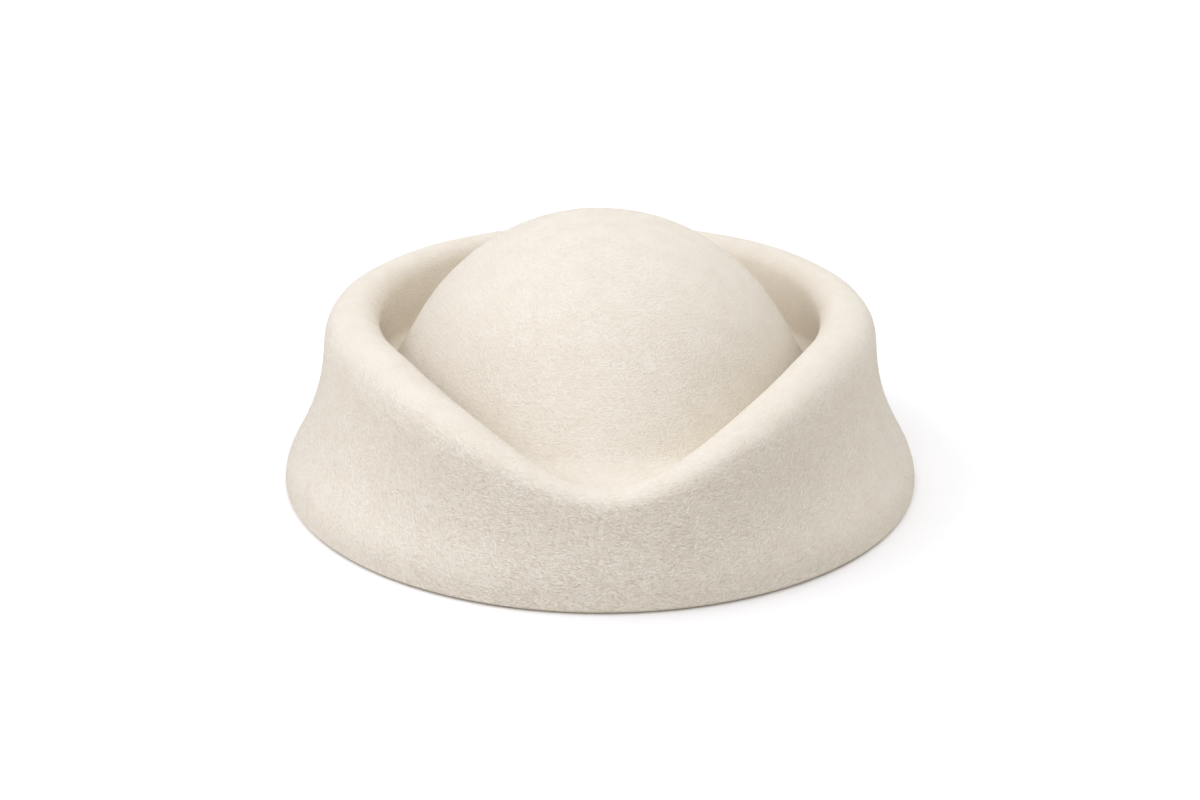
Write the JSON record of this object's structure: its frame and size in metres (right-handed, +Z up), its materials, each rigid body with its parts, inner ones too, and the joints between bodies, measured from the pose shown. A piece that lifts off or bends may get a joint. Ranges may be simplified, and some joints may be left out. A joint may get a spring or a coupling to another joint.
{
  "type": "pillbox hat",
  "caption": "Cream felt pillbox hat: a domed crown inside a raised collar with a rolled rim that dips to a V in front, and a skirt that flares to an oval hem.",
  "frame": {"origin": "centre of the hem's oval, on the surface that the hat stands on", "axes": "+Z up through the crown, front with the V towards -Y, +X to the side"},
  "size_m": [0.176, 0.2016, 0.074],
  "materials": {
    "felt": "matte blocked wool felt, cream, with a short nap"
  },
  "bodies": {
    "root": {"felt_body": "felt"}
  },
  "joints": []
}
